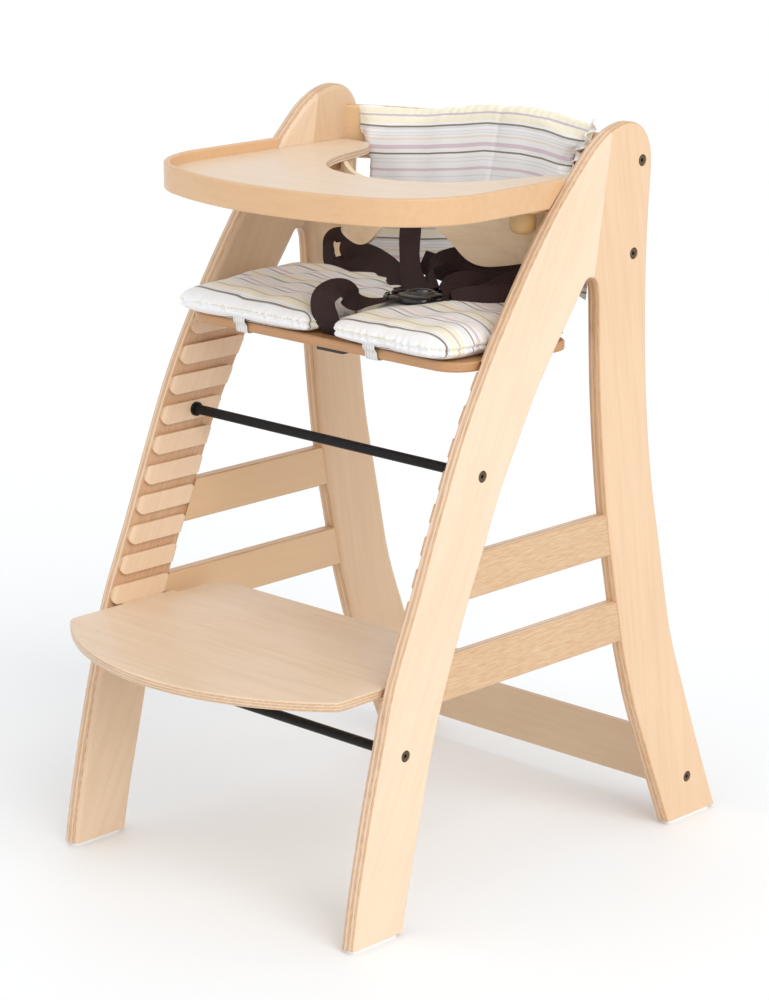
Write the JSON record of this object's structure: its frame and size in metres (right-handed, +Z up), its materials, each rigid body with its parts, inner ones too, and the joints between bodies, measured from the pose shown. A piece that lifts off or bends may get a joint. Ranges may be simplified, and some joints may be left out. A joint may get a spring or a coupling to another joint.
{
  "type": "baby high chair",
  "caption": "Wooden stair-type baby high chair with grooved side frames, a removable rimmed tray with guard bow, a seat board, a foot board, a striped cushion set and a harness.",
  "frame": {"origin": "middle of the overall footprint on the floor, midway between the side frames", "axes": "+Z up, the chair faces -Y, X runs across the chair and X = 0 is the plane of symmetry of the woodwork"},
  "size_m": [0.444, 0.6654, 0.7986],
  "materials": {
    "frame_wood": "clear satin lacquer",
    "board_wood": "clear satin lacquer",
    "tray_wood": "clear satin lacquer",
    "knob_wood": "clear satin lacquer",
    "black_bar": "satin powder coat",
    "bronze_bolt": "dark bronze plate",
    "zinc": "zinc plate",
    "brass_insert": "plain",
    "white_glide": "moulded",
    "striped_fabric": "woven stripe",
    "white_elastic": "woven elastic",
    "webbing": "woven webbing",
    "black_plastic": "fine grain",
    "button_plastic": "smooth"
  },
  "bodies": {
    "frame": {"left_front_leg": "frame_wood", "right_front_leg": "frame_wood", "left_rear_leg": "frame_wood", "right_rear_leg": "frame_wood", "left_upper_side_rail": "frame_wood", "right_upper_side_rail": "frame_wood", "left_lower_side_rail": "frame_wood", "right_lower_side_rail": "frame_wood", "heel_board": "frame_wood", "seat_board": "board_wood", "upper_backrest_board": "board_wood", "lower_backrest_board": "board_wood", "left_tray_runner": "tray_wood", "right_tray_runner": "tray_wood", "upper_cross_bar": "black_bar", "lower_cross_bar": "black_bar", "cross_bar_collars": "black_bar", "cross_bar_bolts": "bronze_bolt", "heel_board_bolts": "bronze_bolt", "backrest_bolts": "bronze_bolt", "cross_nuts": "zinc", "foot_glides": "white_glide", "seat_cushion": "striped_fabric", "back_cushion": "striped_fabric", "cushion_ties": "white_elastic", "crotch_strap": "webbing", "left_waist_strap": "webbing", "right_waist_strap": "webbing", "left_shoulder_strap": "webbing", "right_shoulder_strap": "webbing", "buckle_body": "black_plastic", "crotch_strap_anchor": "black_plastic", "shoulder_strap_anchors": "black_plastic"},
    "foot_board": {"foot_board": "board_wood"},
    "tray": {"tray_panel": "tray_wood", "tray_rim": "tray_wood", "guard_bow": "tray_wood", "left_glue_block": "tray_wood", "right_glue_block": "tray_wood", "knob_inserts": "brass_insert"},
    "left_knob": {"left_tray_knob": "knob_wood", "left_knob_stud": "zinc"},
    "right_knob": {"right_tray_knob": "knob_wood", "right_knob_stud": "zinc"},
    "button": {"buckle_button": "button_plastic"}
  },
  "joints": [
    {"name": "tray_slide", "type": "slide", "parent": "frame", "child": "tray", "axis": [0, -1, 0], "range_m": [0, 0.12]},
    {"name": "left_knob_turn", "type": "hinge", "parent": "tray", "child": "left_knob", "pos_m": [-0.178, 0.04125, 0.7045], "axis": [0, 0, 1], "continuous": true},
    {"name": "right_knob_turn", "type": "hinge", "parent": "tray", "child": "right_knob", "pos_m": [0.178, 0.04125, 0.7045], "axis": [0, 0, 1], "continuous": true},
    {"name": "foot_board_slide", "type": "slide", "parent": "frame", "child": "foot_board", "axis": [0, -1, 0], "range_m": [0, 0.045]},
    {"name": "buckle_press", "type": "slide", "parent": "frame", "child": "button", "axis": [0, 0, -1], "range_m": [0, 0.0018], "stiffness_N_per_m": 300}
  ]
}
